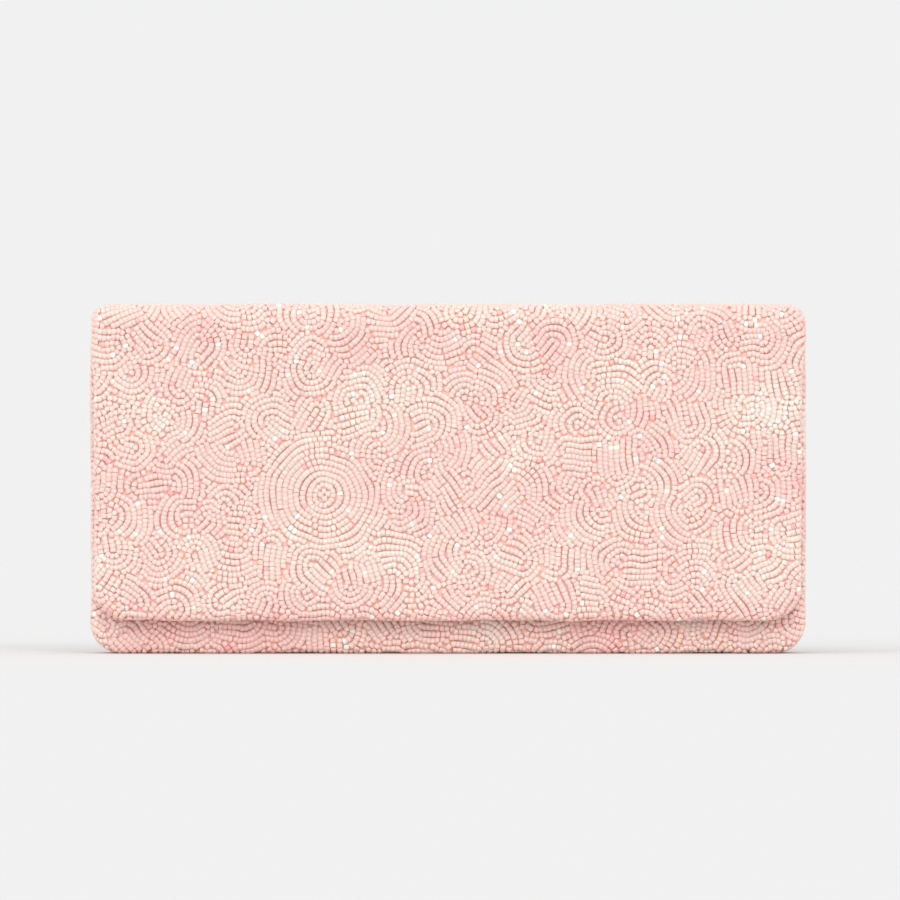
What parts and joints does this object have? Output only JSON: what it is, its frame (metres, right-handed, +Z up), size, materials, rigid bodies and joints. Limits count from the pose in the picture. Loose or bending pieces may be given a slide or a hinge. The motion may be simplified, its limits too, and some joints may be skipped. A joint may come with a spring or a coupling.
{
  "type": "clutch purse",
  "caption": "Slim rectangular evening clutch with a full-width fold-over flap, all covered in rows of small pearly pink beads.",
  "frame": {"origin": "middle of the base, under the middle of the bag's width and depth", "axes": "+X to the right along the bag's width seen from the front, +Y from the front to the back, +Z up"},
  "size_m": [0.254, 0.04, 0.124],
  "materials": {
    "beaded_cloth": "rows of pearly seed beads on cloth",
    "satin": "satin lining",
    "fleece": "non-woven fleece",
    "board": "stiff board",
    "gilt_metal": "polished light gold",
    "magnet": "ferrite magnet",
    "steel": "plain steel"
  },
  "bodies": {
    "body": {"back_cover": "beaded_cloth", "back_padding": "fleece", "back_board": "board", "back_lining": "satin", "bottom_cover": "beaded_cloth", "bottom_board": "board", "bottom_lining": "satin", "left_gusset": "satin", "right_gusset": "satin", "slip_pocket": "satin"},
    "front_panel": {"front_cover": "beaded_cloth", "front_padding": "fleece", "front_board": "board", "front_lining": "satin", "snap_socket_case": "gilt_metal", "snap_magnet": "magnet", "snap_socket_plate": "gilt_metal", "snap_socket_washer": "steel"},
    "spine": {"back_fold": "beaded_cloth", "spine_cover": "beaded_cloth", "spine_board": "board", "spine_lining": "satin", "front_fold": "beaded_cloth"},
    "flap": {"flap_cover": "beaded_cloth", "flap_padding": "fleece", "flap_board": "board", "flap_facing": "satin", "snap_stud": "gilt_metal", "snap_stud_washer": "steel"}
  },
  "joints": [
    {"name": "spine_fold", "type": "hinge", "parent": "body", "child": "spine", "pos_m": [0, 0.0185, 0.1225], "axis": [-1, 0, 0], "range_deg": [0, 95], "deforming": ["back_fold"]},
    {"name": "flap_fold", "type": "hinge", "parent": "spine", "child": "flap", "pos_m": [0, -0.0185, 0.1225], "axis": [-1, 0, 0], "range_deg": [0, 90], "deforming": ["front_fold"]},
    {"name": "mouth_open", "type": "hinge", "parent": "body", "child": "front_panel", "pos_m": [0, -0.0076, 0.003], "axis": [1, 0, 0], "range_deg": [0, 7], "deforming": ["left_gusset", "right_gusset"]}
  ],
  "couplings": [
    {"joint": "mouth_open", "follows": "spine_fold", "ratio": 0.0736}
  ]
}
